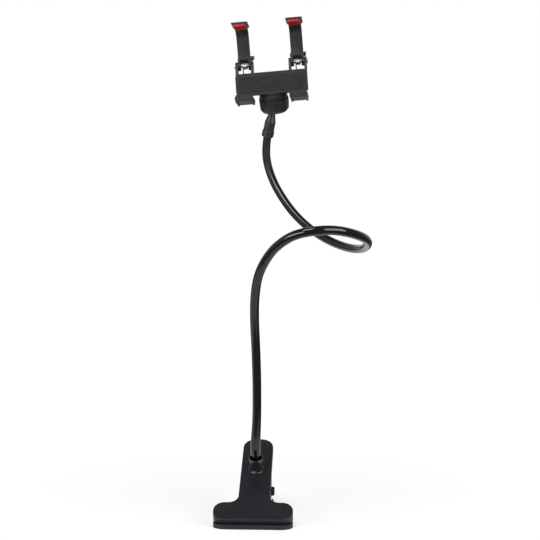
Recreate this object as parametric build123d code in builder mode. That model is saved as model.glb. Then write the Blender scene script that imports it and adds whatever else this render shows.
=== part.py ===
import os
from math import acos, atan2, cos, radians, sin, sqrt, tan

from build123d import *

os.makedirs("parts", exist_ok=True)

# table clamp, T-shaped plates
jaw_width = 67.4
jaw_depth = 21.7
neck_width = 27.0
front_reach = 50.0
heel_reach = 56.0
plate_edge = 5.0
low_edge = 3.8
plate_skin = 2.4
rim_wall = 2.2
edge_round = 0.9
low_round = 0.5
plate_slope = 29.5

# clamp hinge
hinge_height = 21.5
lid_rise = 13.0
ear_radius = 6.5
ear_thick = 2.5
ear_gap = 0.3
ear_base = 20.0
ear_foot = 24.0
pin_radius = 2.0
pin_fit = 0.06
pin_head_radius = 4.0
pin_head = 2.6
ring_thick = 0.7

# clamp pads and spring
grip_height = 4.7
pad_inset = 3.6
pad_seat = 1.3
pad_proud = 0.3
pad_shift = 3.0
groove_pitch = 3.6
groove_width = 0.9
groove_depth = 0.7
wire_radius = 1.0
wire_sides = 10
coil_radius = 4.6
coil_turns = 6
coil_pitch = 1.96 * wire_radius
leg_reach = 29.0

# neck socket
socket_place = 13.0
flange_radius = 7.4
cup_height = 14.2
cup_radius = 6.2
waist_radius = 5.2
cup_floor = 4.2
boss_radius = 3.6
screw_radius = 1.6
screw_head_radius = 3.1
screw_head = 2.0
neck_stand = 27.0

# gooseneck
tube_radius = 3.9
core_radius = 2.4
core_fit = 0.1
neck_route = [
    (1.5, -11.5, 87.0),
    (1.8, -14.2, 109.0),
    (1.6, -16.2, 131.0),
    (1.0, -20.0, 153.0),
    (0.5, -28.0, 173.5),
    (1.5, -39.0, 194.5),
    (5.5, -52.0, 214.0),
    (16.5, -65.0, 231.0),
    (28.0, -75.0, 240.0),
    (38.0, -81.0, 244.5),
    (51.0, -84.0, 247.0),
    (68.5, -80.0, 248.0),
    (85.5, -66.0, 245.0),
    (96.0, -46.0, 241.0),
    (97.0, -23.0, 237.0),
    (92.5, 1.0, 234.0),
    (81.5, 22.0, 235.5),
    (66.5, 39.0, 241.5),
    (48.5, 53.0, 252.5),
    (33.5, 64.0, 266.5),
    (21.0, 74.0, 283.0),
    (10.5, 82.5, 301.5),
    (4.0, 89.0, 321.5),
]

# head placement
head_origin = (11.5, 60.6, 378.0)
head_yaw = 2.0
head_roll = 4.0
ball_drop = 3.0
ball_back = 17.0
socket_lean = 28.0
stud_lean = 20.0
stud_sway = 13.5

# ball joint
ball_radius = 8.0
ball_fit = 0.12
stud_neck = 2.8
ferrule_radius = 5.25
ferrule_lip = 5.8
ferrule_end = 33.0
nut_radius = 14.2
nut_top = 6.0
nut_end = 7.0
nut_sides = 10
nut_groove = 1.1
nut_turn = 8.0
thread_radius = 10.6
thread_fit = 0.1
socket_tall = 25.0

# holder fingers and back plate
finger_width = 17.0
finger_reach = 17.0
claw_width = 15.6
lip_thick = 3.0
lip_height = 2.1
pad_width = 10.5
pad_thick = 1.6
opening = 65.0
back_plane = -0.8
back_thick = 3.7
back_width = 68.0
back_height = 21.0
back_mid = 14.0
rest_thick = 0.5
rest_inset = 3.0

# jaw hinges
jaw_hinge_back = 13.0
jaw_hinge_up = 34.0
arm_bow = 1.5
arm_rise = 14.0
arm_thick = 3.6
jaw_tip = 3.2
handle_knee = 21.0
handle_rise = 7.5
handle_reach = 40.0
handle_lift = 13.0
handle_thick = 2.8
handle_inset = 1.0
squeeze_root = 9.0
squeeze_knee = 14.0
squeeze_low = 8.0
squeeze_reach = 36.0
squeeze_lift = 12.5
ridge_radius = 0.6
ridge_pitch = 2.3
ridge_count = 5
knuckle_radius = 4.2
coil_room = 2.2
jaw_ear = 2.3
knuckle = 2.2
jaw_gap = 0.3
jaw_pin_radius = 1.5
jaw_wire = 0.55
jaw_coil = 2.8
jaw_turns = 5
jaw_pitch = 1.91 * jaw_wire

slope = radians(plate_slope)
along = (0, cos(slope), sin(slope))
normal = (0, -sin(slope), cos(slope))
hinge_axis = Axis((0, 0, hinge_height), (1, 0, 0))
lid = Plane(origin=(0, 0, hinge_height), x_dir=(1, 0, 0), z_dir=normal)


# T outline of both plates: the rounds share the run that each side has
wide = jaw_width / 2
slim = neck_width / 2
shoulder = -front_reach + jaw_depth
jaw_round = 0.48 * jaw_depth
neck_blend = 0.41 * (wide - slim)
heel_round = 0.41 * neck_width
lobe_round = (jaw_round**-4 + (0.58 * (wide - slim)) ** -4) ** -0.25
tee_corners = [
    (-wide, -front_reach),
    (wide, -front_reach),
    (wide, shoulder),
    (slim, shoulder),
    (slim, heel_reach),
    (-slim, heel_reach),
    (-slim, shoulder),
    (-wide, shoulder),
]
tee_rounds = [
    jaw_round, jaw_round, lobe_round, neck_blend, heel_round, heel_round, neck_blend, lobe_round
]


def touch(centre, radius, end, side):
    dx = end[0] - centre[0]
    dy = end[1] - centre[1]
    reach = sqrt(dx * dx + dy * dy)
    angle = atan2(dy, dx) + side * acos(radius / reach)
    return (centre[0] + radius * cos(angle), centre[1] + radius * sin(angle))


ear_in = neck_width / 2 - ear_thick / 2
ear_low = neck_width / 2 - ear_thick - ear_gap - ear_thick / 2
pocket_start = 12.0
pocket_length = heel_reach - rim_wall - pocket_start
pocket_mid = pocket_start + pocket_length / 2
cell_width = neck_width / 2 - 1.5 * rim_wall
cell_length = (pocket_length - rim_wall) / 2
lobe_mid = -front_reach + jaw_depth / 2

# lower jaw: flat plate with pockets behind the hinge and two ears
with BuildPart() as clamp_lower_jaw:
    with BuildSketch():
        with BuildLine():
            FilletPolyline(*tee_corners, radius=tee_rounds, close=True)
        make_face()
    extrude(amount=low_edge)
    fillet(clamp_lower_jaw.faces().sort_by(Axis.Z)[-1].edges(), low_round)
    with BuildSketch(Plane.XY.offset(plate_skin)):
        with Locations((0, pocket_mid)):
            with GridLocations(cell_width + rim_wall, cell_length + rim_wall, 2, 2):
                RectangleRounded(cell_width, cell_length, 1.5)
    extrude(amount=low_edge, mode=Mode.SUBTRACT)
    with BuildSketch(Plane.XY.offset(low_edge)):
        with Locations((0, lobe_mid)):
            RectangleRounded(jaw_width - 2 * pad_inset, jaw_depth - 2 * pad_inset, jaw_round - pad_inset)
    extrude(amount=-pad_seat, mode=Mode.SUBTRACT)
    for side in (-1, 1):
        with BuildSketch(Plane.YZ.offset(side * ear_low)):
            with Locations((0, hinge_height)):
                Circle(ear_radius)
            with Locations((0, low_edge - 1.0)):
                Rectangle(ear_base, 1.6)
            make_hull()
        extrude(amount=ear_thick / 2, both=True)
    with Locations(Location((0, 0, hinge_height), (0, 90, 0))):
        Cylinder(pin_radius + pin_fit, neck_width, mode=Mode.SUBTRACT)
clamp_lower_jaw.part.label = "clamp_lower_jaw"
export_step(clamp_lower_jaw.part, "parts/clamp_lower_jaw.step")

# lower pad, seated in the jaw and a little proud of it
with BuildPart() as clamp_lower_pad:
    with BuildSketch(Plane.XY.offset(low_edge - pad_seat)):
        with Locations((0, lobe_mid)):
            inset = 2 * pad_inset + 0.2
            RectangleRounded(jaw_width - inset, jaw_depth - inset, jaw_round - inset / 2)
    extrude(amount=pad_seat + pad_proud)
    chamfer(clamp_lower_pad.faces().sort_by(Axis.Z)[-1].edges(), 0.2)
    with BuildSketch(Plane.XY.offset(low_edge + pad_proud)):
        with Locations((0, lobe_mid)):
            with GridLocations(1, groove_pitch, 1, 3):
                Rectangle(2 * jaw_width, groove_width)
    extrude(amount=-groove_depth, mode=Mode.SUBTRACT)
clamp_lower_pad.part.label = "clamp_lower_pad"
export_step(clamp_lower_pad.part, "parts/clamp_lower_pad.step")

# upper jaw: sloping plate, wedge lobe with a level grip face, ears and screw boss
under = lid_rise - plate_edge
wedge_drop = jaw_depth * tan(slope) + 2.0
with BuildPart() as clamp_upper_jaw:
    with BuildSketch(lid.offset(under)):
        with BuildLine():
            FilletPolyline(*tee_corners, radius=tee_rounds, close=True)
        make_face()
    extrude(amount=plate_edge)
    fillet(clamp_upper_jaw.faces().sort_by(Axis((0, 0, 0), normal))[-1].edges(), edge_round)
    with BuildSketch(lid.offset(under)):
        with Locations((0, lobe_mid)):
            RectangleRounded(jaw_width, jaw_depth, jaw_round)
    extrude(amount=-wedge_drop)
    with BuildSketch(Plane.XY.offset(grip_height)):
        with Locations((0, lobe_mid)):
            Rectangle(2 * jaw_width, 4 * jaw_depth)
    extrude(amount=-4 * wedge_drop, mode=Mode.SUBTRACT)
    with BuildSketch(lid.offset(under)):
        with Locations((0, pocket_mid)):
            with GridLocations(cell_width + rim_wall, cell_length + rim_wall, 2, 2):
                RectangleRounded(cell_width, cell_length, 1.5)
    extrude(amount=plate_edge - plate_skin, mode=Mode.SUBTRACT)
    with BuildSketch(lid.offset(under)):
        with Locations((0, socket_place)):
            Circle(boss_radius)
    extrude(amount=plate_edge - plate_skin)
    with BuildSketch(Plane.XY.offset(grip_height)):
        with Locations((0, lobe_mid + pad_shift)):
            RectangleRounded(jaw_width - 2 * pad_inset, jaw_depth - 2 * pad_inset, jaw_round - pad_inset)
    extrude(amount=pad_seat, mode=Mode.SUBTRACT)
    for side in (-1, 1):
        ear_plane = Plane(origin=(side * ear_in, 0, hinge_height), x_dir=along, z_dir=(1, 0, 0))
        with BuildSketch(ear_plane):
            Circle(ear_radius)
            with Locations((0, under + 0.6)):
                Rectangle(ear_foot, 1.0)
            make_hull()
        extrude(amount=ear_thick / 2, both=True)
    with Locations(Location((0, 0, hinge_height), (0, 90, 0))):
        Cylinder(pin_radius + pin_fit, 2 * neck_width, mode=Mode.SUBTRACT)
    with BuildSketch(lid.offset(under)):
        with Locations((0, socket_place)):
            Circle(screw_radius + 0.1)
    extrude(amount=2 * plate_edge, mode=Mode.SUBTRACT)
clamp_upper_jaw.part.label = "clamp_upper_jaw"
export_step(clamp_upper_jaw.part, "parts/clamp_upper_jaw.step")

# upper pad
with BuildPart() as clamp_upper_pad:
    with BuildSketch(Plane.XY.offset(grip_height - pad_proud)):
        with Locations((0, lobe_mid + pad_shift)):
            inset = 2 * pad_inset + 0.2
            RectangleRounded(jaw_width - inset, jaw_depth - inset, jaw_round - inset / 2)
    extrude(amount=pad_seat + pad_proud)
    chamfer(clamp_upper_pad.faces().sort_by(Axis.Z)[0].edges(), 0.2)
    with BuildSketch(Plane.XY.offset(grip_height - pad_proud)):
        with Locations((0, lobe_mid + pad_shift)):
            with GridLocations(1, groove_pitch, 1, 3):
                Rectangle(2 * jaw_width, groove_width)
    extrude(amount=groove_depth, mode=Mode.SUBTRACT)
clamp_upper_pad.part.label = "clamp_upper_pad"
export_step(clamp_upper_pad.part, "parts/clamp_upper_pad.step")

# hinge pin with one head, and the thin ring pushed on its plain end
head_start = neck_width / 2 + ear_gap
with BuildPart() as clamp_hinge_pin:
    with BuildSketch(Plane.YZ.offset(-head_start - ring_thick)):
        with Locations((0, hinge_height)):
            Circle(pin_radius)
    extrude(amount=2 * head_start + ring_thick)
    with BuildSketch(Plane.YZ.offset(head_start)):
        with Locations((0, hinge_height)):
            Circle(pin_head_radius)
    extrude(amount=pin_head)
    fillet(clamp_hinge_pin.faces().sort_by(Axis.X)[-1].edges(), 0.6 * pin_head)
clamp_hinge_pin.part.label = "clamp_hinge_pin"
export_step(clamp_hinge_pin.part, "parts/clamp_hinge_pin.step")

with BuildPart() as clamp_pin_cap:
    with BuildSketch(Plane.YZ.offset(-head_start)):
        with Locations((0, hinge_height)):
            Circle(pin_head_radius)
    extrude(amount=-ring_thick)
    fillet(clamp_pin_cap.faces().sort_by(Axis.X)[0].edges(), 0.4 * ring_thick)
    with BuildSketch(Plane.YZ.offset(-head_start)):
        with Locations((0, hinge_height)):
            Circle(pin_radius + 0.02)
    extrude(amount=-ring_thick, mode=Mode.SUBTRACT)
clamp_pin_cap.part.label = "clamp_pin_cap"
export_step(clamp_pin_cap.part, "parts/clamp_pin_cap.step")

# clamp spring: close-wound coil with a leg under each handle
coil_end = (coil_turns - 1) / 2 * coil_pitch
low_end = (leg_reach, plate_skin + wire_radius + 0.1)
high_end = (leg_reach, lid_rise - plate_skin - wire_radius - 0.1)
with BuildPart() as clamp_spring:
    with BuildSketch(Plane.XZ):
        with Locations((0, hinge_height + coil_radius)):
            with GridLocations(coil_pitch, 1, coil_turns, 1):
                RegularPolygon(1.04 * wire_radius, wire_sides)
    revolve(axis=hinge_axis)
    start = touch((0, hinge_height), coil_radius, low_end, -1)
    run = Vector(0, low_end[0] - start[0], low_end[1] - start[1])
    with BuildSketch(Plane(origin=(-coil_end, start[0], start[1]), x_dir=(1, 0, 0), z_dir=run)):
        Circle(0.96 * wire_radius)
    extrude(amount=run.length)
    start = touch((0, 0), coil_radius, high_end, 1)
    leg_start = lid.from_local_coords(Vector(coil_end, start[0], start[1]))
    leg_stop = lid.from_local_coords(Vector(coil_end, high_end[0], high_end[1]))
    run = leg_stop - leg_start
    with BuildSketch(Plane(origin=leg_start, x_dir=(1, 0, 0), z_dir=run)):
        Circle(0.96 * wire_radius)
    extrude(amount=run.length)
clamp_spring.part.label = "clamp_spring"
export_step(clamp_spring.part, "parts/clamp_spring.step")

# neck socket: flanged cup that stands square on the sloping plate
seat = lid.from_local_coords(Vector(0, socket_place, lid_rise))
seat_section = Plane(origin=seat, x_dir=(1, 0, 0), z_dir=(0, -cos(slope), -sin(slope)))
seat_axis = Axis(seat, normal)
with BuildPart() as neck_socket:
    with BuildSketch(seat_section):
        with BuildLine():
            ThreePointArc(
                (flange_radius, 0.7),
                (flange_radius - 0.4, 1.7),
                (flange_radius - 1.3, 2.2),
            )
            Polyline(
                (flange_radius - 1.3, 2.2),
                (waist_radius + 0.2, 2.5),
                (waist_radius, 4.0),
                (cup_radius - 0.5, 0.6 * cup_height),
                (cup_radius, cup_height - 1.6),
                (cup_radius, cup_height - 0.3),
                (cup_radius - 0.3, cup_height),
                (cup_radius - 0.7, cup_height),
                (core_radius + 0.85, cup_floor + 0.8),
                (core_radius + 0.75, cup_floor),
                (0, cup_floor),
                (0, cup_floor - 1.0),
                (screw_radius + 0.05, cup_floor - 1.0),
                (screw_radius + 0.05, 0),
                (flange_radius, 0),
                (flange_radius, 0.7),
            )
        make_face()
    revolve(axis=seat_axis)
neck_socket.part.label = "neck_socket"
export_step(neck_socket.part, "parts/neck_socket.step")

# screw that holds the socket from under the plate
with BuildPart() as socket_screw:
    with BuildSketch(lid.offset(under)):
        with Locations((0, socket_place)):
            Circle(screw_head_radius)
    extrude(amount=-screw_head)
    fillet(socket_screw.faces().sort_by(Axis((0, 0, 0), normal))[0].edges(), 0.8)
    with BuildSketch(lid.offset(under)):
        with Locations((0, socket_place)):
            Circle(screw_radius)
    extrude(amount=plate_edge + cup_floor - 1.3)
    with BuildSketch(lid.offset(under - screw_head)):
        with Locations((0, socket_place)):
            Rectangle(3.2, 0.8)
            Rectangle(0.8, 3.2)
    extrude(amount=1.0, mode=Mode.SUBTRACT)
socket_screw.part.label = "socket_screw"
export_step(socket_screw.part, "parts/socket_screw.step")

def at_run(start, end, x):
    return start[1] + (end[1] - start[1]) * (x - start[0]) / (end[0] - start[0])


# ridge centres along one face of a handle, counted back from its end
def ridges(knee, end, face):
    run = Vector(end[0] - knee[0], end[1] - knee[1]).normalized()
    out = Vector(run.Y, -run.X) * (face * handle_thick / 2)
    stops = [ridge_pitch * (step + 1) for step in range(ridge_count)]
    return [(end[0] - run.X * stop + out.X, end[1] - run.Y * stop + out.Y) for stop in stops]


# head frame: u to the right, v up, w to the front
yaw = radians(head_yaw)
roll = radians(head_roll)
u_dir = Vector(cos(yaw) * cos(roll), -sin(yaw) * cos(roll), sin(roll))
w_dir = Vector(-sin(yaw), -cos(yaw), 0)
head = Plane(origin=head_origin, x_dir=u_dir, z_dir=w_dir)
v_dir = head.y_dir
ball_centre = head.from_local_coords(Vector(0, -ball_drop, -ball_back))
lean = radians(socket_lean)
nut_dir = v_dir * -cos(lean) + w_dir * -sin(lean)
nut_section = Plane(origin=ball_centre, x_dir=u_dir, z_dir=u_dir.cross(nut_dir))
nut_axis = Axis(ball_centre, nut_dir)
stud_dir = Vector(-tan(radians(stud_sway)), tan(radians(stud_lean)), -1).normalized()
stud_side = Vector(0, 1, 0).cross(stud_dir).normalized()
stud_section = Plane(origin=ball_centre, x_dir=stud_side, z_dir=stud_side.cross(stud_dir))
stud_axis = Axis(ball_centre, stud_dir)


def side_plane(place):
    return Plane(origin=head.from_local_coords(Vector(place, 0, 0)), x_dir=w_dir, z_dir=u_dir * -1)


# gooseneck: one path for the core and the sleeve
foot = cup_floor + 0.1
route = [Vector(seat) + Vector(normal) * foot, Vector(seat) + Vector(normal) * neck_stand]
route += [Vector(point) for point in neck_route]
route += [ball_centre + stud_dir * 38.0, ball_centre + stud_dir * (ferrule_end - 8.0)]
bends = []
for index in range(1, len(route) - 1):
    back = route[index - 1] - route[index]
    ahead = route[index + 1] - route[index]
    turn = radians(180.0 - back.get_angle(ahead))
    bends.append(0.47 * min(back.length, ahead.length) / tan(turn / 2))

with BuildPart() as gooseneck_core:
    with BuildLine():
        core_path = FilletPolyline(*route, radius=bends)
    with BuildSketch(Plane(origin=route[0], x_dir=(1, 0, 0), z_dir=normal)):
        Circle(core_radius)
    sweep()
    with BuildSketch(Plane(origin=route[-1], x_dir=stud_side, z_dir=stud_dir * -1)):
        Circle(core_radius)
    extrude(amount=4.0)
gooseneck_core.part.label = "gooseneck_core"
export_step(gooseneck_core.part, "parts/gooseneck_core.step")

with BuildPart() as gooseneck_sleeve:
    with BuildLine():
        sleeve_path = FilletPolyline(*route, radius=bends)
    with BuildSketch(Plane(origin=route[0], x_dir=(1, 0, 0), z_dir=normal)):
        Circle(tube_radius)
        Circle(core_radius + core_fit, mode=Mode.SUBTRACT)
    sweep()
    with BuildSketch(seat_section):
        with BuildLine():
            Polyline(
                (core_radius + 0.6, cup_floor - 1.0),
                (core_radius + 0.6, cup_floor + 1.0),
                (core_radius + 0.9, cup_height - 1.0),
                (tube_radius + 0.3, cup_height + 5.0),
                (2 * tube_radius, cup_height + 5.0),
                (2 * tube_radius, cup_floor - 1.0),
                close=True,
            )
        make_face()
    revolve(axis=seat_axis, mode=Mode.SUBTRACT)
gooseneck_sleeve.part.label = "gooseneck_sleeve"
export_step(gooseneck_sleeve.part, "parts/gooseneck_sleeve.step")

# ball stud: ball, neck, cone and ferrule in one turned shape
neck_start = sqrt(ball_radius**2 - stud_neck**2)
with BuildPart() as ball_stud:
    with BuildSketch(stud_section):
        with BuildLine():
            ThreePointArc((0, -ball_radius), (ball_radius, 0), (stud_neck, neck_start))
            Polyline(
                (stud_neck, neck_start),
                (stud_neck, ball_radius + 0.8),
                (ferrule_radius - 0.3, 17.2),
                (ferrule_radius, 18.0),
                (ferrule_radius - 0.1, ferrule_end - 6.6),
                (ferrule_lip, ferrule_end - 5.9),
                (ferrule_lip, ferrule_end - 1.2),
                (ferrule_lip - 0.6, ferrule_end),
                (tube_radius + 0.05, ferrule_end),
                (tube_radius + 0.05, ferrule_end - 8.2),
                (core_radius + 0.05, ferrule_end - 8.2),
                (core_radius + 0.05, ferrule_end - 12.5),
                (0, ferrule_end - 13.2),
                (0, -ball_radius),
            )
        make_face()
    revolve(axis=stud_axis)
ball_stud.part.label = "ball_stud"
export_step(ball_stud.part, "parts/ball_stud.step")

# collar nut: ten flats with a groove at each corner, seat for the ball and a flared hole
seat_radius = ball_radius + ball_fit
hole_radius = 0.85 * ball_radius
hole_place = sqrt(seat_radius**2 - hole_radius**2)
bore_radius = thread_radius + thread_fit
bore_end = 1.2
seat_start = sqrt(seat_radius**2 - bore_end**2)
with BuildPart() as collar_nut:
    with BuildSketch(nut_section):
        with BuildLine():
            Polyline(
                (hole_radius, hole_place),
                (hole_radius + 2.0, nut_end),
                (nut_radius - 2.3, nut_end),
                (nut_radius - 0.5, nut_end - 2.4),
                (nut_radius + 0.3, -nut_top + 0.6),
                (nut_radius - 0.3, -nut_top),
                (bore_radius, -nut_top),
                (bore_radius, bore_end),
                (seat_start, bore_end),
            )
            ThreePointArc(
                (seat_start, bore_end),
                (seat_radius * cos(0.35), seat_radius * sin(0.35)),
                (hole_radius, hole_place),
            )
        make_face()
    revolve(axis=nut_axis)
    with BuildSketch(Plane(origin=ball_centre, x_dir=u_dir, z_dir=nut_dir).offset(-nut_top - 1.0)):
        RegularPolygon(nut_radius + 0.35, nut_sides, rotation=nut_turn)
    extrude(amount=nut_top + nut_end + 2.0, mode=Mode.INTERSECT)
    with BuildSketch(Plane(origin=ball_centre, x_dir=u_dir, z_dir=nut_dir).offset(-nut_top - 1.0)):
        with PolarLocations(nut_radius + 0.45, nut_sides, start_angle=nut_turn):
            Circle(nut_groove)
    extrude(amount=nut_top + nut_end + 2.0, mode=Mode.SUBTRACT)
collar_nut.part.label = "collar_nut"
export_step(collar_nut.part, "parts/collar_nut.step")

# holder frame: ball socket, back plate, lower fingers, hinge ears and squeeze plates
finger_low = -5.3
pad_floor = -pad_thick
jaw_ear_in = finger_width / 2 - jaw_ear / 2
hinge_spot = (-jaw_hinge_back, jaw_hinge_up)
half = finger_width / 2
clip_place = (back_width - finger_width) / 2 - 0.15
socket_radius = nut_radius - 2.6
right_outline = [
    (half - 3.1, lip_height + 3.7),
    (half, -0.6),
    (half, -2.6),
    (half - 0.7, finger_low),
    (half - 1.9, finger_low),
    (half - 2.8, -4.4),
]
finger_outline = right_outline + [(-u, v) for u, v in reversed(right_outline)]
squeeze_route = [(-lip_thick, squeeze_root), (-squeeze_knee, squeeze_low), (-squeeze_reach, squeeze_lift)]
with BuildPart() as holder_frame:
    with BuildSketch(nut_section):
        with BuildLine():
            Polyline(
                (0, -socket_tall),
                (socket_radius, -socket_tall),
                (socket_radius, -nut_top - 4.6),
                (nut_radius - 0.8, -nut_top - 3.6),
                (nut_radius - 0.8, -nut_top - 0.4),
                (thread_radius, -nut_top - 0.4),
                (thread_radius, -0.8),
                (0, -0.8),
                close=True,
            )
        make_face()
    revolve(axis=nut_axis)
    with BuildSketch(head.offset(back_plane)):
        Rectangle(4 * nut_radius, 4 * socket_tall)
    extrude(amount=2 * socket_tall, mode=Mode.SUBTRACT)
    with Locations(ball_centre):
        Sphere(ball_radius + ball_fit, mode=Mode.SUBTRACT)
    with BuildSketch(head.offset(back_plane - back_thick)):
        with Locations((0, back_mid)):
            RectangleRounded(back_width, back_height, 4.0)
    extrude(amount=back_thick)
    for side in (-1, 1):
        with BuildSketch(head.offset(back_plane - back_thick)):
            with Locations((side * clip_place, 0)):
                Polygon(*finger_outline, align=None)
        extrude(amount=finger_reach - back_plane + back_thick)
    with BuildSketch(side_plane(0)):
        with BuildLine():
            Polyline(
                (back_plane, pad_floor),
                (finger_reach - lip_thick, pad_floor),
                (finger_reach - lip_thick, lip_height),
                (finger_reach + 5.0, lip_height),
                (finger_reach + 5.0, 20.0),
                (back_plane, 20.0),
                close=True,
            )
        make_face()
    extrude(amount=back_width, both=True, mode=Mode.SUBTRACT)
    front_edges = holder_frame.faces().filter_by(head).group_by(Axis(head.origin, w_dir))[-1].edges()
    chamfer(front_edges, 0.5)
    for side in (-1, 1):
        for hand in (-1, 1):
            with BuildSketch(side_plane(side * clip_place + hand * jaw_ear_in)):
                with Locations(hinge_spot):
                    Circle(knuckle_radius)
                with Locations((back_plane - back_thick + 0.5, back_mid + 3.0)):
                    Rectangle(1.0, knuckle_radius * 2.8)
                make_hull()
            extrude(amount=jaw_ear / 2, both=True)
        with BuildSketch(side_plane(side * clip_place)):
            with BuildLine():
                FilletPolyline(*squeeze_route, radius=12.0)
            trace(line_width=handle_thick)
            with Locations(*ridges(squeeze_route[1], squeeze_route[2], -1)):
                Circle(ridge_radius)
        extrude(amount=half - handle_inset, both=True)
        with BuildSketch(side_plane(side * clip_place)):
            with Locations(hinge_spot):
                Circle(jaw_pin_radius + 0.05)
        extrude(amount=finger_width, both=True, mode=Mode.SUBTRACT)
holder_frame.part.label = "holder_frame"
export_step(holder_frame.part, "parts/holder_frame.step")

# soft strip on the front of the back plate
with BuildPart() as back_pad:
    with BuildSketch(head.offset(back_plane)):
        with Locations((0, back_mid)):
            RectangleRounded(back_width - 2 * rest_inset, back_height - 2 * rest_inset, 2.0)
    extrude(amount=rest_thick)
    chamfer(back_pad.faces().sort_by(Axis(head.origin, w_dir))[-1].edges(), 0.2)
back_pad.part.label = "back_pad"
export_step(back_pad.part, "parts/back_pad.step")

# upper jaws, their pins, springs and pads, and the pads of the lower fingers
knuckle_out = finger_width / 2 - jaw_ear - jaw_gap
finger_under = opening + pad_thick + 0.4
finger_top = finger_under + jaw_tip
claw = claw_width / 2
right_outline = [
    (claw - 0.5, finger_top),
    (claw, finger_top - 0.9),
    (claw - 0.3, finger_top - 1.4),
    (pad_width / 2 + 0.4, finger_under),
]
jaw_outline = right_outline + [(-u, v) for u, v in reversed(right_outline)]
arm_route = [
    hinge_spot,
    (-jaw_hinge_back - arm_bow, jaw_hinge_up + arm_rise),
    (-jaw_hinge_back + arm_bow, finger_under - lip_thick),
    (-lip_thick, finger_under + jaw_tip / 2),
]
knee = (-handle_knee, jaw_hinge_up + handle_rise)
handle_end = (-handle_reach, jaw_hinge_up + handle_lift)
wide_start = -handle_knee - 2.0
top_leg = -0.75 * handle_reach
low_leg = -0.75 * squeeze_reach
leg_room = handle_thick / 2 + jaw_wire
top_leg_end = (top_leg, at_run(knee, handle_end, top_leg) - leg_room - 0.75)
low_leg_end = (low_leg, at_run(squeeze_route[1], squeeze_route[2], low_leg) + leg_room + 0.4)
for side, name in ((-1, "left"), (1, "right")):
    place = side * clip_place
    clip = side_plane(place)
    with BuildPart() as upper_jaw:
        with BuildSketch(clip):
            with BuildLine():
                FilletPolyline(*arm_route, radius=6.0)
            trace(line_width=arm_thick)
            with BuildLine():
                FilletPolyline(hinge_spot, knee, handle_end, radius=8.0)
            trace(line_width=handle_thick)
            with Locations(hinge_spot):
                Circle(knuckle_radius)
        extrude(amount=knuckle_out, both=True)
        with BuildSketch(clip):
            with BuildLine():
                Line((wide_start, at_run(knee, handle_end, wide_start)), handle_end)
            trace(line_width=handle_thick)
            with Locations(*ridges(knee, handle_end, 1)):
                Circle(ridge_radius)
        extrude(amount=half - handle_inset, both=True)
        with BuildSketch(head.offset(-5.0)):
            with Locations((place, 0)):
                Polygon(*jaw_outline, align=None)
        extrude(amount=finger_reach + 4.0)
        with BuildSketch(clip):
            with BuildLine():
                Polyline(
                    (finger_reach - 4.5, finger_top + 1.0),
                    (finger_reach - 4.5, finger_top),
                    (finger_reach + 1.0, finger_top - 1.6),
                    (finger_reach + 1.0, finger_top + 1.0),
                    close=True,
                )
            make_face()
        extrude(amount=finger_width, both=True, mode=Mode.SUBTRACT)
        with BuildSketch(clip):
            with Locations(hinge_spot):
                Circle(knuckle_radius + coil_room)
        extrude(amount=knuckle_out - knuckle, both=True, mode=Mode.SUBTRACT)
        with BuildSketch(clip):
            with Locations(hinge_spot):
                Circle(jaw_pin_radius + 0.06)
        extrude(amount=finger_width, both=True, mode=Mode.SUBTRACT)
    upper_jaw.part.label = f"{name}_upper_jaw"
    export_step(upper_jaw.part, f"parts/{name}_upper_jaw.step")

    with BuildPart() as jaw_pin:
        with BuildSketch(clip):
            with Locations(hinge_spot):
                Circle(jaw_pin_radius)
        extrude(amount=finger_width / 2 + 0.1, both=True)
        with BuildSketch(side_plane(place + side * (finger_width / 2 + 0.02))):
            with Locations(hinge_spot):
                Circle(jaw_pin_radius + 0.9)
        extrude(amount=-side * 1.1)
    jaw_pin.part.label = f"{name}_jaw_pin"
    export_step(jaw_pin.part, f"parts/{name}_jaw_pin.step")

    turn_end = (jaw_turns - 1) / 2 * jaw_pitch
    with BuildPart() as jaw_spring:
        coil_plane = Plane(
            origin=head.from_local_coords(Vector(place, hinge_spot[1], hinge_spot[0])), x_dir=u_dir, z_dir=w_dir
        )
        with BuildSketch(coil_plane):
            with Locations((0, jaw_coil)):
                with GridLocations(jaw_pitch, 1, jaw_turns, 1):
                    RegularPolygon(1.04 * jaw_wire, wire_sides)
        revolve(axis=Axis(coil_plane.origin, u_dir))
        for end, shift in ((top_leg_end, turn_end), (low_leg_end, -turn_end)):
            start = touch(hinge_spot, jaw_coil, end, 1)
            leg_start = head.from_local_coords(Vector(place + shift, start[1], start[0]))
            leg_stop = head.from_local_coords(Vector(place + shift, end[1], end[0]))
            run = leg_stop - leg_start
            with BuildSketch(Plane(origin=leg_start, x_dir=u_dir, z_dir=run)):
                Circle(0.95 * jaw_wire)
            extrude(amount=run.length)
    jaw_spring.part.label = f"{name}_jaw_spring"
    export_step(jaw_spring.part, f"parts/{name}_jaw_spring.step")

    with BuildPart() as upper_pad:
        with BuildSketch(head.offset(1.0)):
            with Locations((place, opening + (finger_under - opening) / 2)):
                RectangleRounded(pad_width, finger_under - opening, 0.5)
        extrude(amount=finger_reach - 1.0)
    upper_pad.part.label = f"{name}_upper_pad"
    export_step(upper_pad.part, f"parts/{name}_upper_pad.step")

    with BuildPart() as lower_pad:
        with BuildSketch(head.offset(0.2)):
            with Locations((place, pad_floor / 2)):
                RectangleRounded(pad_width, pad_thick, 0.5)
        extrude(amount=finger_reach - lip_thick - 0.4)
    lower_pad.part.label = f"{name}_lower_pad"
    export_step(lower_pad.part, f"parts/{name}_lower_pad.step")
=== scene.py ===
from math import acos, atan2, cos, pi, radians, sin

import bpy
from mathutils import Matrix, Vector


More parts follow.
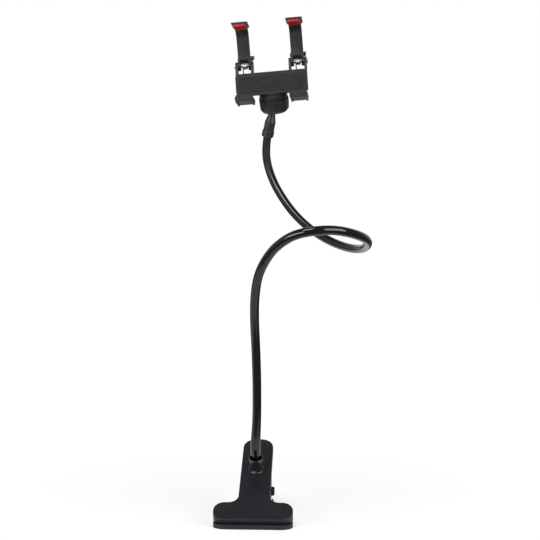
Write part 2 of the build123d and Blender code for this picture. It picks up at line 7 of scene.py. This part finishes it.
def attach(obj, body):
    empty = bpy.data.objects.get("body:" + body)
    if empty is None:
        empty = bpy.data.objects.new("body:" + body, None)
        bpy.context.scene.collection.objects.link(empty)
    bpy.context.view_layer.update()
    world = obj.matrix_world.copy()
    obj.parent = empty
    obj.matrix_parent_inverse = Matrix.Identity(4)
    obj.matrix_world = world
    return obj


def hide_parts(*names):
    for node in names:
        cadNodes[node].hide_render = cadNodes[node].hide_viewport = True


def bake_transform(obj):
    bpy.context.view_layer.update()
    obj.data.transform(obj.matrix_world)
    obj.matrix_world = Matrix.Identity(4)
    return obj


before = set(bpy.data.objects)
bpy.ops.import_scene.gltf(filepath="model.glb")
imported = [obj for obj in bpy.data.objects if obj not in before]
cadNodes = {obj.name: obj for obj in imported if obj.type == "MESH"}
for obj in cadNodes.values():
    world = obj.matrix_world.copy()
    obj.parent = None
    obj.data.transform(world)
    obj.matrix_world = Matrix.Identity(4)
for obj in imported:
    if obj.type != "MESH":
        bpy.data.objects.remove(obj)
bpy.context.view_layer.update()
scene = bpy.context.scene
bpy.ops.object.select_all(action="DESELECT")
print("frame loaded,", len(cadNodes), "nodes")

# shared values: piece sizes are in millimetres, and a noise has its marks between low and high
perMetre = 1000
smoothAngle = radians(40)
noiseLow, noiseHigh = 0.3, 0.7
xAxis, yAxis, zAxis = Vector((1, 0, 0)), Vector((0, 1, 0)), Vector((0, 0, 1))
hands = ((-1, "left"), (1, "right"))


def newFinish(name):
    finish = bpy.data.materials.new(name)
    finish.use_nodes = True
    tree = finish.node_tree
    coords = tree.nodes.new("ShaderNodeTexCoord")
    return finish, tree, tree.nodes["Principled BSDF"], coords.outputs["Object"]


def addNoise(tree, coords, scale, detail=2.0, roughness=0.5, stretch=None):
    if stretch:
        mapping = tree.nodes.new("ShaderNodeMapping")
        mapping.inputs["Scale"].default_value = stretch
        tree.links.new(coords, mapping.inputs["Vector"])
        coords = mapping.outputs["Vector"]
    noise = tree.nodes.new("ShaderNodeTexNoise")
    noise.inputs["Scale"].default_value = scale
    noise.inputs["Detail"].default_value = detail
    noise.inputs["Roughness"].default_value = roughness
    tree.links.new(coords, noise.inputs["Vector"])
    return noise.outputs["Fac"]


def blendColours(tree, amount, darkColour, lightColour, low=noiseLow, high=noiseHigh):
    ramp = tree.nodes.new("ShaderNodeValToRGB")
    ramp.color_ramp.elements[0].position = low
    ramp.color_ramp.elements[0].color = (*darkColour, 1)
    ramp.color_ramp.elements[1].position = high
    ramp.color_ramp.elements[1].color = (*lightColour, 1)
    tree.links.new(amount, ramp.inputs["Fac"])
    return ramp.outputs["Color"]


def rampNode(tree, source, low, high, start, end):
    ramp = tree.nodes.new("ShaderNodeMapRange")
    for socket, value in (("From Min", low), ("From Max", high), ("To Min", start), ("To Max", end)):
        ramp.inputs[socket].default_value = value
    tree.links.new(source, ramp.inputs["Value"])
    return ramp.outputs["Result"]


def spread(tree, noise, low, high):
    return rampNode(tree, noise, noiseLow, noiseHigh, low, high)


def joinNode(tree, operation, first, second):
    join = tree.nodes.new("ShaderNodeMath")
    join.operation = operation
    tree.links.new(first, join.inputs[0])
    tree.links.new(second, join.inputs[1])
    return join.outputs["Value"]


def splitCoords(tree, coords):
    split = tree.nodes.new("ShaderNodeSeparateXYZ")
    tree.links.new(coords, split.inputs["Vector"])
    return split.outputs


def addBump(tree, height, depth):
    bump = tree.nodes.new("ShaderNodeBump")
    bump.inputs["Strength"].default_value = 1.0
    bump.inputs["Distance"].default_value = depth
    tree.links.new(height, bump.inputs["Height"])
    return bump.outputs["Normal"]


def wireFinish(tree, shader, colour, roughness, normal):
    for source, socket in ((colour, "Base Color"), (roughness, "Roughness"), (normal, "Normal")):
        tree.links.new(source, shader.inputs[socket])


# moulded plastic: fine spark grain, faint flow marks in colour and gloss
def mouldedFinish(name, look):
    finish, tree, shader, coords = newFinish(name)
    flow = addNoise(tree, coords, look["flowScale"], detail=3.0)
    grain = addNoise(tree, coords, look["grainScale"], roughness=0.6)
    gloss = addNoise(tree, coords, look["glossScale"], detail=4.0)
    colour = blendColours(tree, flow, look["dark"], look["light"])
    roughness = spread(tree, gloss, *look["rough"])
    wireFinish(tree, shader, colour, roughness, addBump(tree, grain, look["grainDepth"]))
    shader.inputs["Specular IOR Level"].default_value = look["specular"]
    return finish


clampLook = {"dark": (0.0042, 0.0041, 0.0082), "light": (0.007, 0.0069, 0.012), "rough": (0.46, 0.56),
             "flowScale": 45.0, "glossScale": 180.0, "grainScale": 1900.0, "grainDepth": 0.00005,
             "specular": 0.37}
headLook = {"dark": (0.0155, 0.0155, 0.0162), "light": (0.0212, 0.0212, 0.0219), "rough": (0.4, 0.5),
            "flowScale": 60.0, "glossScale": 240.0, "grainScale": 2400.0, "grainDepth": 0.00003,
            "specular": 0.32}
jointLook = {"dark": (0.012, 0.012, 0.0126), "light": (0.0165, 0.0165, 0.0173), "rough": (0.36, 0.44),
             "flowScale": 80.0, "glossScale": 320.0, "grainScale": 2400.0, "grainDepth": 0.00003,
             "specular": 0.5}
cupLook = {"dark": (0.009, 0.009, 0.01), "light": (0.013, 0.013, 0.0142), "rough": (0.26, 0.28),
           "flowScale": 80.0, "glossScale": 320.0, "grainScale": 2000.0, "grainDepth": 0.00001,
           "specular": 0.48}
clampPlastic = mouldedFinish("grained clamp plastic", clampLook)
headPlastic = mouldedFinish("satin head plastic", headLook)
jointPlastic = mouldedFinish("dark joint plastic", jointLook)
cupPlastic = mouldedFinish("polished cup plastic", cupLook)

# soft glossy sleeve: long faint ripples that break up the reflections, duller under the ferrule
sleeveLook = {"dark": (0.005, 0.005, 0.005), "light": (0.0075, 0.0075, 0.0075), "rough": (0.06, 0.1),
              "cloudScale": 30.0, "rippleScale": 38.0, "rippleDepth": 0.00018,
              "dullZone": (0.3, 0.321), "dullness": (0, 0.5), "specular": (0.5, 0.26)}
sleeveFinish, tree, shader, coords = newFinish("glossy neck sleeve")
cloud = addNoise(tree, coords, sleeveLook["cloudScale"], detail=3.0)
ripple = addNoise(tree, coords, sleeveLook["rippleScale"], detail=1.0)
colour = blendColours(tree, cloud, sleeveLook["dark"], sleeveLook["light"])
height = splitCoords(tree, coords)["Z"]
dullness = rampNode(tree, height, *sleeveLook["dullZone"], *sleeveLook["dullness"])
roughness = joinNode(tree, "ADD", spread(tree, cloud, *sleeveLook["rough"]), dullness)
wireFinish(tree, shader, colour, roughness, addBump(tree, ripple, sleeveLook["rippleDepth"]))
sheen = rampNode(tree, height, *sleeveLook["dullZone"], *sleeveLook["specular"])
tree.links.new(sheen, shader.inputs["Specular IOR Level"])

# metal: fine drawn lines and patchy brightness
metalGrain = {"patchScale": 120.0, "lineScale": 900.0, "lineDepth": 0.00001}


def metalFinish(name, look):
    finish, tree, shader, coords = newFinish(name)
    patch = addNoise(tree, coords, metalGrain["patchScale"], detail=4.0)
    lines = addNoise(tree, coords, metalGrain["lineScale"], stretch=look["stretch"])
    colour = blendColours(tree, patch, look["dark"], look["light"])
    roughness = spread(tree, lines, *look["rough"])
    wireFinish(tree, shader, colour, roughness, addBump(tree, lines, metalGrain["lineDepth"]))
    shader.inputs["Metallic"].default_value = look["metallic"]
    shader.inputs["Specular IOR Level"].default_value = look["specular"]
    return finish


steelLook = {"dark": (0.42, 0.42, 0.43), "light": (0.56, 0.56, 0.57), "rough": (0.25, 0.4),
             "stretch": (0.15, 1, 1), "metallic": 1.0, "specular": 0.5}
blackSteelLook = {"dark": (0.004, 0.004, 0.0045), "light": (0.007, 0.007, 0.0075), "rough": (0.35, 0.5),
                  "stretch": (1, 1, 1), "metallic": 0.0, "specular": 0.18}
coreLook = {"dark": (0.62, 0.62, 0.64), "light": (0.72, 0.72, 0.74), "rough": (0.3, 0.42),
            "stretch": (1, 1, 0.2), "metallic": 1.0, "specular": 0.5}
springSteel = metalFinish("spring steel", steelLook)
blackSteel = metalFinish("blacked steel", blackSteelLook)
coreMetal = metalFinish("drawn core", coreLook)

# rubber: open matte grain
rubberGrain = {"grainScale": 1400.0, "grainDepth": 0.00008, "bloomScale": 150.0, "specular": 0.35}


def rubberFinish(name, look):
    finish, tree, shader, coords = newFinish(name)
    grain = addNoise(tree, coords, rubberGrain["grainScale"], detail=4.0, roughness=0.65)
    bloom = addNoise(tree, coords, rubberGrain["bloomScale"], detail=3.0)
    colour = blendColours(tree, bloom, look["dark"], look["light"])
    roughness = spread(tree, grain, *look["rough"])
    wireFinish(tree, shader, colour, roughness, addBump(tree, grain, rubberGrain["grainDepth"]))
    shader.inputs["Specular IOR Level"].default_value = rubberGrain["specular"]
    return finish


redLook = {"dark": (0.36, 0.008, 0.016), "light": (0.47, 0.013, 0.022), "rough": (0.6, 0.8)}
blackLook = {"dark": (0.012, 0.012, 0.012), "light": (0.02, 0.02, 0.02), "rough": (0.75, 0.92)}
redRubber = rubberFinish("red pad rubber", redLook)
blackRubber = rubberFinish("black pad rubber", blackLook)
print("finishes made")

nodeFinishes = {
    "clamp_lower_jaw": clampPlastic, "clamp_upper_jaw": clampPlastic, "neck_socket": cupPlastic,
    "clamp_lower_pad": blackRubber, "clamp_upper_pad": blackRubber, "back_pad": blackRubber,
    "clamp_hinge_pin": blackSteel, "clamp_pin_cap": blackSteel,
    "clamp_spring": springSteel, "socket_screw": springSteel,
    "left_jaw_pin": springSteel, "right_jaw_pin": springSteel,
    "left_jaw_spring": springSteel, "right_jaw_spring": springSteel,
    "gooseneck_core": coreMetal, "gooseneck_sleeve": sleeveFinish,
    "ball_stud": jointPlastic, "collar_nut": jointPlastic, "holder_frame": headPlastic,
    "left_upper_jaw": headPlastic, "right_upper_jaw": headPlastic,
    "left_upper_pad": redRubber, "right_upper_pad": redRubber,
    "left_lower_pad": redRubber, "right_lower_pad": redRubber,
}
for nodeName, node in cadNodes.items():
    node.data.materials.clear()
    node.data.materials.append(nodeFinishes[nodeName])
print("nodes finished")

# gooseneck: one smooth run from the socket to the ferrule
# the foot gives steps along the socket's axis, and how the tube swells there
neck = {
    "radius": 3.9, "sides": 10, "steps": 12, "order": 3,
    "seat": (0.0, 2.796, 42.959), "lean": radians(29.5),
    "foot": [(0.0, 0.67), (4.7, 0.67), (7.7, 0.68), (9.7, 0.78),
             (11.7, 0.98), (13.7, 1.1), (16.7, 1.14), (22.7, 1.12)],
    "route": [
        (1.5, -11.5, 87.0), (1.8, -14.2, 109.0), (1.6, -16.2, 131.0), (1.0, -20.0, 153.0),
        (0.5, -28.0, 173.5), (1.5, -39.0, 194.5), (5.5, -52.0, 214.0), (16.5, -65.0, 231.0),
        (28.0, -75.0, 240.0), (38.0, -81.0, 244.5), (51.0, -84.0, 247.0), (68.5, -80.0, 248.0),
        (85.5, -66.0, 245.0), (96.0, -46.0, 241.0), (97.0, -23.0, 237.0), (92.5, 1.0, 234.0),
        (81.5, 22.0, 235.5), (66.5, 39.0, 241.5), (48.5, 53.0, 252.5), (33.5, 64.0, 266.5),
        (21.0, 74.0, 283.0), (10.5, 82.5, 301.5), (4.0, 89.0, 321.5), (3.94, 90.26, 340.174),
        (6.801, 85.923, 352.091),
    ],
}
socketAxis = Vector((0, -sin(neck["lean"]), cos(neck["lean"])))
stops = [(Vector(neck["seat"]) + socketAxis * step, swell) for step, swell in neck["foot"]]
stops += [(Vector(stop), 1.0) for stop in neck["route"]]
bpy.ops.curve.primitive_nurbs_path_add(location=(0, 0, 0))
gooseneck = bpy.context.object
gooseneck.name = "gooseneckTube"
line = gooseneck.data.splines[0]
line.points.add(len(stops) - len(line.points))
for point, (stop, swell) in zip(line.points, stops):
    point.co = (*(stop / perMetre), 1)
    point.radius = swell
line.order_u = neck["order"]
line.use_endpoint_u = True
line.resolution_u = neck["steps"]
gooseneck.data.bevel_depth = neck["radius"] / perMetre
gooseneck.data.bevel_resolution = neck["sides"]
gooseneck.data.use_fill_caps = True
bpy.ops.object.convert(target="MESH")
bpy.ops.object.shade_smooth_by_angle(angle=smoothAngle)
gooseneck = bpy.context.object
gooseneck.data.materials.clear()
gooseneck.data.materials.append(sleeveFinish)
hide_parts("gooseneck_sleeve")
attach(gooseneck, "arm")
bpy.ops.object.select_all(action="DESELECT")
print("gooseneck made,", len(gooseneck.data.polygons), "faces")

# soft pads: a block with rounded corners, grooves sunk across its gripping face
padCut = {"cornerSteps": 6, "taper": 0.3, "softSteps": 3, "softAngle": radians(35), "facing": 0.9}


def makePad(name, look, axes, place, finish):
    bpy.ops.mesh.primitive_cube_add(size=1.0, location=(0, 0, 0))
    pad = bpy.context.object
    pad.name = name
    width, length, thick = [size / perMetre for size in look["size"]]
    pad.scale = (width, length, thick)
    pad.location = (0, 0, thick / 2)
    bpy.ops.object.transform_apply(location=True, rotation=False, scale=True)

    # only the four upright edges are rounded into corners
    mesh = pad.data
    for part in (*mesh.vertices, *mesh.polygons):
        part.select = False
    for edge in mesh.edges:
        ends = [mesh.vertices[index].co for index in edge.vertices]
        edge.select = abs(ends[0].z - ends[1].z) > thick / 2
    bpy.context.tool_settings.mesh_select_mode = (False, True, False)
    bpy.ops.object.mode_set(mode="EDIT")
    corner = look["corner"] / perMetre
    bpy.ops.mesh.bevel(offset=corner, segments=padCut["cornerSteps"], affect="EDGES")

    # grooves are cut out of the face and sunk
    pitch, half = look["pitch"] / perMetre, look["groove"] / perMetre / 2
    grooves = [(index - (look["count"] - 1) / 2) * pitch for index in range(look["count"])]
    for groove in grooves:
        for side in (-half, half):
            bpy.ops.mesh.select_all(action="SELECT")
            bpy.ops.mesh.bisect(plane_co=(0, groove + side, 0), plane_no=(0, 1, 0))
    bpy.ops.mesh.select_all(action="DESELECT")
    bpy.ops.mesh.select_mode(type="FACE")
    bpy.ops.object.mode_set(mode="OBJECT")
    for face in mesh.polygons:
        sunk = any(abs(face.center.y - groove) < half for groove in grooves)
        face.select = sunk and face.normal.z > padCut["facing"]
    bpy.ops.object.mode_set(mode="EDIT")
    sink = look["sink"] / perMetre
    bpy.ops.mesh.inset(thickness=half * padCut["taper"], depth=-sink, use_individual=True)
    bpy.ops.object.mode_set(mode="OBJECT")

    soften = pad.modifiers.new("soften", "BEVEL")
    soften.width = look["soft"] / perMetre
    soften.segments = padCut["softSteps"]
    soften.limit_method = "ANGLE"
    soften.angle_limit = padCut["softAngle"]
    bpy.ops.object.modifier_apply(modifier="soften")
    bpy.ops.object.shade_smooth_by_angle(angle=smoothAngle)
    turn = Matrix(axes).transposed().to_4x4()
    pad.matrix_world = Matrix.Translation(Vector(place) / perMetre) @ turn
    bpy.ops.object.transform_apply(location=True, rotation=True, scale=True)
    pad.data.materials.append(finish)
    bpy.ops.object.select_all(action="DESELECT")
    return pad


# head pose: u to the right, v up, w to the front
headPose = {"origin": (11.5, 60.6, 378.0), "yaw": radians(2.0), "roll": radians(4.0),
            "clip": 25.35}
yaw, roll = headPose["yaw"], headPose["roll"]
uAxis = Vector((cos(yaw) * cos(roll), -sin(yaw) * cos(roll), sin(roll)))
wAxis = Vector((-sin(yaw), -cos(yaw), 0))
vAxis = wAxis.cross(uAxis)


def headPoint(u, v, w):
    return Vector(headPose["origin"]) + uAxis * u + vAxis * v + wAxis * w


# finger pads: the seat gives v and w, and the clip gives u
upperPadLook = {"size": (10.4, 15.9, 1.95), "corner": 0.8, "pitch": 2.4, "count": 6, "groove": 0.8,
                "sink": 0.45, "soft": 0.22, "seat": (66.97, 9.0)}
lowerPadLook = {"size": (10.4, 13.5, 1.55), "corner": 0.8, "pitch": 2.4, "count": 5, "groove": 0.8,
                "sink": 0.45, "soft": 0.22, "seat": (-1.57, 7.0)}
for side, hand in hands:
    clip = side * headPose["clip"]
    place = headPoint(clip, *upperPadLook["seat"])
    upperPad = makePad(hand + "UpperPad", upperPadLook, (uAxis, wAxis, -vAxis), place, redRubber)
    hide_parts(hand + "_upper_pad")
    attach(upperPad, hand + "_jaw")
    place = headPoint(clip, *lowerPadLook["seat"])
    lowerPad = makePad(hand + "LowerPad", lowerPadLook, (-uAxis, wAxis, vAxis), place, redRubber)
    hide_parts(hand + "_lower_pad")
    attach(lowerPad, "head")

backPadLook = {"size": (61.9, 14.9, 0.5), "corner": 2.0, "pitch": 2.5, "count": 5, "groove": 0.7,
               "sink": 0.25, "soft": 0.12, "seat": (0, 14.0, -0.8)}
place = headPoint(*backPadLook["seat"])
backPad = makePad("backPad", backPadLook, (uAxis, vAxis, wAxis), place, blackRubber)
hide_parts("back_pad")
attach(backPad, "head")

clampPadLook = {"size": (59.8, 14.2, 1.6), "corner": 6.6, "pitch": 3.6, "count": 3, "groove": 0.9,
                "sink": 0.7, "soft": 0.2, "lowSeat": (0, -39.15, 2.5), "highSeat": (0, -36.15, 6.0)}
place = clampPadLook["lowSeat"]
lowPad = makePad("clampLowerPad", clampPadLook, (xAxis, yAxis, zAxis), place, blackRubber)
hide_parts("clamp_lower_pad")
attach(lowPad, "base")
place = clampPadLook["highSeat"]
highPad = makePad("clampUpperPad", clampPadLook, (xAxis, -yAxis, -zAxis), place, blackRubber)
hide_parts("clamp_upper_pad")
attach(highPad, "arm")
print("pads made")

# torsion springs: x runs along the coil's axis from the fixed leg to the moving one,
# and the legs' ends are y and z from the coil's middle
springCut = {"sides": 12, "ringReach": 1.01, "tipRound": 0.3, "tipSteps": 2}


def pickRing(mesh, centre, reach):
    for vertex in mesh.vertices:
        vertex.select = (vertex.co - centre).length < reach
    for edge in mesh.edges:
        edge.select = all(mesh.vertices[index].select for index in edge.vertices)
    for face in mesh.polygons:
        face.select = False


def makeSpring(name, look, axes, place):
    wire, coil, half = [look[size] / perMetre for size in ("wire", "coil", "half")]
    ends = [Vector((0, *end)) / perMetre for end in (look["fixedEnd"], look["movingEnd"])]
    turns = [atan2(end.z, end.y) + side * acos(coil / end.length) for end, side in zip(ends, (-1, 1))]
    starts = [Vector((x, coil * cos(turn), coil * sin(turn))) for x, turn in zip((-half, half), turns)]

    bpy.ops.mesh.primitive_circle_add(vertices=springCut["sides"], radius=wire, location=starts[0],
                                      rotation=(turns[0], 0, 0))
    spring = bpy.context.object
    spring.name = name
    bpy.ops.object.transform_apply(location=True, rotation=True, scale=True)
    wind = spring.modifiers.new("wind", "SCREW")
    wind.axis = "X"
    wind.angle = -((turns[0] - turns[1]) % (2 * pi) + look["turns"] * 2 * pi)
    wind.screw_offset = 2 * half
    wind.steps = wind.render_steps = look["steps"]
    bpy.ops.object.modifier_apply(modifier="wind")

    # each leg is drawn out of the coil's last ring, and its tip is closed and rounded
    for start, end in zip(starts, ends):
        run = Vector((0, end.y - start.y, end.z - start.z))
        pickRing(spring.data, start, springCut["ringReach"] * wire)
        bpy.context.tool_settings.mesh_select_mode = (False, True, False)
        bpy.ops.object.mode_set(mode="EDIT")
        bpy.ops.mesh.extrude_region_move(TRANSFORM_OT_translate={"value": run})
        bpy.ops.mesh.edge_face_add()
        bpy.ops.mesh.bevel(offset=springCut["tipRound"] * wire, segments=springCut["tipSteps"],
                           affect="EDGES")
        bpy.ops.object.mode_set(mode="OBJECT")

    middle = Vector(place) / perMetre
    spring.matrix_world = Matrix.Translation(middle) @ Matrix(axes).transposed().to_4x4()
    bpy.ops.object.transform_apply(location=True, rotation=True, scale=True)
    bpy.ops.object.mode_set(mode="EDIT")
    bpy.ops.mesh.select_all(action="SELECT")
    bpy.ops.mesh.normals_make_consistent(inside=False)
    bpy.ops.object.mode_set(mode="OBJECT")
    bpy.ops.object.shade_smooth_by_angle(angle=smoothAngle)
    spring.data.materials.append(springSteel)
    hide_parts(look["node"])
    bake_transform(spring)
    bpy.ops.object.select_all(action="DESELECT")


clampSpringLook = {"node": "clamp_spring", "bodies": ("base", "arm"), "seat": (0, 0, 21.5),
                   "wire": 1.0, "coil": 4.6, "half": 4.9, "turns": 4, "steps": 104,
                   "fixedEnd": (29.0, -18.0), "movingEnd": (20.56, 22.55)}
makeSpring("clampSpring", clampSpringLook, (xAxis, yAxis, zAxis), clampSpringLook["seat"])
jawSpringLook = {"wire": 0.55, "coil": 2.8, "half": 2.1, "turns": 3, "steps": 90,
                 "fixedEnd": (-14.0, -20.99), "movingEnd": (-17.0, 7.4), "seat": (34.0, -13.0)}
for side, hand in hands:
    look = dict(jawSpringLook, node=hand + "_jaw_spring", bodies=("head", hand + "_jaw"))
    place = headPoint(side * headPose["clip"], *look["seat"])
    makeSpring(hand + "JawSpring", look, (uAxis, wAxis, vAxis), place)
print("springs wound")

# floor: a pale sheet on a dark table, all white to the camera but for the soft shadow, which is partly
# rendered and partly painted shade in a ring around the part
floorLook = {"size": 12.0, "sheet": (0.9, 0.9, 0.9), "table": (0.08, 0.08, 0.08), "rough": 0.9,
             "front": -0.15, "back": 1.2, "left": -0.6, "right": 0.2, "soft": 0.03,
             "white": 1.07, "mirrored": (0.12, 0.9), "clear": (0.64, 1), "paintedShadeReach": (0.12, 0.5)}
bpy.ops.mesh.primitive_plane_add(size=floorLook["size"], location=(0, 0, 0))
floor = bpy.context.object
floor.name = "floorSheet"
floorFinish, tree, shader, coords = newFinish("pale floor")
shader.inputs["Roughness"].default_value = floorLook["rough"]
shader.inputs["Specular IOR Level"].default_value = 0.0

# the sheet's area, soft at its edges
ground = splitCoords(tree, coords)
soft = floorLook["soft"]
behindFront = rampNode(tree, ground["Y"], floorLook["front"] - soft, floorLook["front"], 0, 1)
beforeBack = rampNode(tree, ground["Y"], floorLook["back"], floorLook["back"] + soft, 1, 0)
pastLeft = rampNode(tree, ground["X"], floorLook["left"] - soft, floorLook["left"], 0, 1)
beforeRight = rampNode(tree, ground["X"], floorLook["right"], floorLook["right"] + soft, 1, 0)
inDepth = joinNode(tree, "MULTIPLY", behindFront, beforeBack)
sheet = joinNode(tree, "MULTIPLY", inDepth, joinNode(tree, "MULTIPLY", pastLeft, beforeRight))
rays = tree.nodes.new("ShaderNodeLightPath").outputs
paleArea = joinNode(tree, "MAXIMUM", sheet, rays["Is Camera Ray"])
pale = blendColours(tree, paleArea, floorLook["table"], floorLook["sheet"], low=0.0, high=1.0)
tree.links.new(pale, shader.inputs["Base Color"])

# glowing paper whitens the floor to the camera, less so near the part, and is what gloss mirrors; the
# weaker glow near the part paints a grey shade ring around it and lets the rendered shadow show there
reach = tree.nodes.new("ShaderNodeVectorMath")
reach.operation = "LENGTH"
tree.links.new(coords, reach.inputs[0])
# painted shadow: the glow's share rises from near the part to far off, greying the floor around the
# base
clear = rampNode(tree, reach.outputs["Value"], *floorLook["paintedShadeReach"], *floorLook["clear"])
seen = joinNode(tree, "MULTIPLY", rays["Is Camera Ray"], clear)
paper = tree.nodes.new("ShaderNodeEmission")
shownPaper = rampNode(tree, rays["Is Camera Ray"], 0, 1, 0, floorLook["white"])
mirroredPaper = rampNode(tree, sheet, 0, 1, *floorLook["mirrored"])
tree.links.new(joinNode(tree, "MAXIMUM", shownPaper, mirroredPaper), paper.inputs["Strength"])
mix = tree.nodes.new("ShaderNodeMixShader")
tree.links.new(joinNode(tree, "MAXIMUM", seen, rays["Is Glossy Ray"]), mix.inputs["Fac"])
tree.links.new(shader.outputs["BSDF"], mix.inputs[1])
tree.links.new(paper.outputs["Emission"], mix.inputs[2])
tree.links.new(mix.outputs["Shader"], tree.nodes["Material Output"].inputs["Surface"])
floor.data.materials.append(floorFinish)

# world: white behind the object, pale on its left, dim on the side of the camera
worldLook = {"front": 0.12, "back": 1.0, "left": 0.6,
             "backEdge": (0.4, 0.95), "leftEdge": (-0.95, -0.6)}
world = bpy.data.worlds.new("studio")
scene.world = world
world.use_nodes = True
tree = world.node_tree
sky = tree.nodes["Background"]
sky.inputs["Color"].default_value = (1, 1, 1, 1)
coords = tree.nodes.new("ShaderNodeTexCoord")
facing = splitCoords(tree, coords.outputs["Generated"])
behind = rampNode(tree, facing["Y"], *worldLook["backEdge"], worldLook["front"], worldLook["back"])
beside = rampNode(tree, facing["X"], *worldLook["leftEdge"], worldLook["left"], worldLook["front"])
rays = tree.nodes.new("ShaderNodeLightPath").outputs
around = joinNode(tree, "MAXIMUM", behind, beside)
tree.links.new(joinNode(tree, "MAXIMUM", around, rays["Is Camera Ray"]), sky.inputs["Strength"])


# soft lamps
def addLamp(name, look):
    bpy.ops.object.light_add(type="AREA", location=look["place"])
    lamp = bpy.context.object
    lamp.name = name
    lamp.data.shape = "RECTANGLE"
    lamp.data.size, lamp.data.size_y = look["size"]
    lamp.data.energy = look["power"]
    lamp.data.color = look["tint"]
    aim = Vector(look["aim"]) - Vector(look["place"])
    lamp.rotation_euler = aim.to_track_quat("-Z", "Y").to_euler()


lampLooks = {
    "lowLeftBox": {"place": (-0.89, -0.91, 0.38), "aim": (0.02, 0.0, 0.24), "size": (0.95, 0.54),
                   "power": 11.5, "tint": (0.9, 0.93, 1.0)},
    "highLeftBox": {"place": (-0.33, -0.76, 1.28), "aim": (0.02, 0.0, 0.28), "size": (0.62, 0.55),
                    "power": 8.0, "tint": (1.0, 0.98, 0.9)},
    "rightBox": {"place": (0.97, -0.8, 0.58), "aim": (0.02, 0.0, 0.25), "size": (1.1, 0.85),
                 "power": 17.0, "tint": (1.0, 0.98, 0.9)},
}
for lampName, lampLook in lampLooks.items():
    addLamp(lampName, lampLook)
print("stage lit")

# camera at the photograph's angle: level, a little right of the middle
view = {"place": (0.0594, -0.8981, 0.2159), "turn": 3.0, "lens": 68.2, "sensor": 36.0,
        "near": 0.05, "far": 50.0}
bpy.ops.object.camera_add(location=view["place"], rotation=(radians(90), 0, radians(view["turn"])))
camera = bpy.context.object
camera.data.lens = view["lens"]
camera.data.sensor_width = view["sensor"]
camera.data.clip_start = view["near"]
camera.data.clip_end = view["far"]
scene.camera = camera
scene.view_settings.view_transform = "Standard"
print("camera set")
